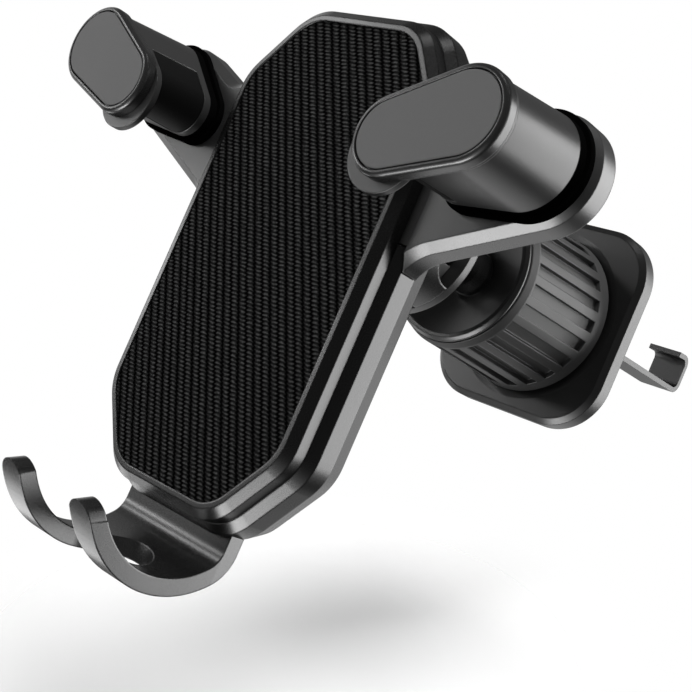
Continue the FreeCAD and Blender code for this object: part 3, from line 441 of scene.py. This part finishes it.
# %% World
path = studio.node("ShaderNodeLightPath")
glossy = Signal(studio, path.outputs["Is Glossy Ray"])
seen = Signal(studio, path.outputs["Is Camera Ray"])
backdrop = seen + Signal(studio, path.outputs["Is Transmission Ray"])
indirect = glossy * (glossy_view - EVEN_LIGHT) + EVEN_LIGHT
strength = backdrop.at_most(1.0) * (1.0 - indirect) + indirect
background = studio.node("ShaderNodeBackground", {}, {"Color": gray(1.0), "Strength": strength})
studio.node("ShaderNodeOutputWorld", {}, {"Surface": background.outputs[0]})
print("world nodes:", len(world.node_tree.nodes))


# %% [markdown]
# Each lamp is a soft box. Its power follows from its size and from how bright its face looks, so
# the numbers can be compared: a face of brightness 1 would look white.

# %% A soft box
middle = (cad_low + cad_high) / 2


def soft_box(name, toward, distance, width, height, brightness):
    data = bpy.data.lights.new(name, "AREA")
    data.shape = "RECTANGLE"
    data.size = width
    data.size_y = height
    data.energy = brightness * math.pi * width * height
    box = bpy.data.objects.new(name, data)
    scene.collection.objects.link(box)
    toward = Vector(toward).normalized()
    box.location = middle + toward * distance
    box.rotation_mode = "QUATERNION"
    box.rotation_quaternion = (-toward).to_track_quat("-Z", "Y")
    box.visible_camera = False
    print(name, "gives", round(data.energy, 2), "W")
    return box


# %% [markdown]
# Six boxes only make highlights, each on faces that turn its way: the right side and the columns,
# the undersides, the fronts, the top of the rim, the ends of the prongs and the upper edges.
# Three more only light the dull colours. Together with the even light they come to about the
# level at which a colour looks as it is written. The roof box also throws the shadow.

# %% Lamps
ROOF = Vector((0.33, -0.20, 0.97)).normalized()
HIGHLIGHT_DISTANCE = 0.80
HIGHLIGHT_BOXES = [
    ("right_back_box", (0.67, 0.70, 0.24), 0.44, 0.95, 6.0),
    ("low_box", (0.02, -0.46, -0.88), 0.50, 0.30, 13.0),
    ("left_box", (-0.76, -0.65, 0.04), 0.22, 0.08, 11.0),
    ("left_top_box", (-0.70, -0.63, 0.33), 0.20, 0.09, 9.0),
    ("left_low_box", (-0.79, 0.12, -0.60), 0.34, 0.28, 2.4),
    ("top_box", (-0.03, -0.34, 0.94), 0.20, 0.10, 4.0),
]
COLOUR_DISTANCE = 0.75
COLOUR_BOXES = [
    ("roof_box", ROOF, 0.36, 0.36, 14.5),
    ("front_box", (-0.30, -0.90, 0.10), 0.50, 0.50, 3.0),
    ("back_box", (-0.45, 0.80, 0.35), 0.50, 0.50, 4.0),
]
for name, toward, width, height, brightness in HIGHLIGHT_BOXES:
    box = soft_box(name, toward, HIGHLIGHT_DISTANCE, width, height, brightness)
    box.visible_diffuse = False
for name, toward, width, height, brightness in COLOUR_BOXES:
    box = soft_box(name, toward, COLOUR_DISTANCE, width, height, brightness)
    box.visible_glossy = False


# %% [markdown]
# The holder leans back over the floor, so the studio's own up direction isn't the frame's, and in
# the frame the floor leans instead. The floor only has to carry the shadow, so it is placed where
# the roof box throws one. It glows a little, so that it is as white as the backdrop where no
# shadow falls, and it fades out before its edge. The low boxes shine through it, and it isn't seen
# from below.

# %% Floor
STUDIO_UP = Vector((0.0, -0.53, 0.85)).normalized()
FLOOR_DEPTH = 74.0 * MM
FLOOR_SIZE = 300.0 * MM
FLOOR_WHITE = 0.85
FLOOR_GLOW = 0.14
FADE_START = 36.0 * MM
FADE_END = 96.0 * MM
fall = FLOOR_DEPTH / STUDIO_UP.dot(ROOF)
bpy.ops.object.select_all(action="DESELECT")
bpy.ops.mesh.primitive_plane_add(size=FLOOR_SIZE, location=middle - ROOF * fall)
floor = bpy.context.object
floor.name = "studio_floor"
floor.rotation_mode = "QUATERNION"
floor.rotation_quaternion = STUDIO_UP.to_track_quat("Z", "Y")
floor.visible_glossy = False
floor.visible_shadow = False
floor.visible_diffuse = False
print("floor lies", round(FLOOR_DEPTH / MM), "mm under the middle of the holder")

# %% Floor cloth
cloth = Finish("white_floor", Roughness=1.0, Specular_IOR_Level=0.0, Emission_Strength=1.0)
cloth.feed(cloth.shader.inputs["Base Color"], gray(FLOOR_WHITE))
cloth.feed(cloth.shader.inputs["Emission Color"], gray(FLOOR_GLOW))
distance = (cloth.x * cloth.x + cloth.y * cloth.y) ** 0.5
under = Signal(cloth, cloth.node("ShaderNodeNewGeometry").outputs["Backfacing"])
carpet = 1.0 - distance.ramp(FADE_START, FADE_END)
cloth.feed(cloth.shader.inputs["Alpha"], carpet * (1.0 - under))
floor.data.materials.append(cloth.material)
print("floor fades out", round(FADE_END / MM), "mm from its middle")


# %% [markdown]
# The picture was taken from the right, a little below the middle of the holder, with the camera
# rolled, so that the holder leans. A camera that stands level and is then turned, tipped and
# rolled in this order repeats it.

# %% Camera
CAMERA_PLACE = Vector((0.1982, -0.2722, -0.0434))
CAMERA_TURN = math.radians(43.38)
CAMERA_TIP = math.radians(3.05)
CAMERA_ROLL = math.radians(23.47)
CAMERA_LENS = 70.9
CAMERA_SENSOR = 36.0
camera_data = bpy.data.cameras.new("camera")
camera_data.sensor_width = CAMERA_SENSOR
camera_data.lens = CAMERA_LENS
camera_data.clip_start = 10.0 * MM
camera = bpy.data.objects.new("camera", camera_data)
scene.collection.objects.link(camera)
turn = Matrix.Rotation(CAMERA_TURN, 4, "Z")
tip = Matrix.Rotation(math.pi / 2 + CAMERA_TIP, 4, "X")
roll = Matrix.Rotation(CAMERA_ROLL, 4, "Z")
camera.matrix_world = Matrix.Translation(CAMERA_PLACE) @ turn @ tip @ roll
scene.camera = camera
print("camera stands", round((CAMERA_PLACE - middle).length / MM), "mm from the holder's middle")
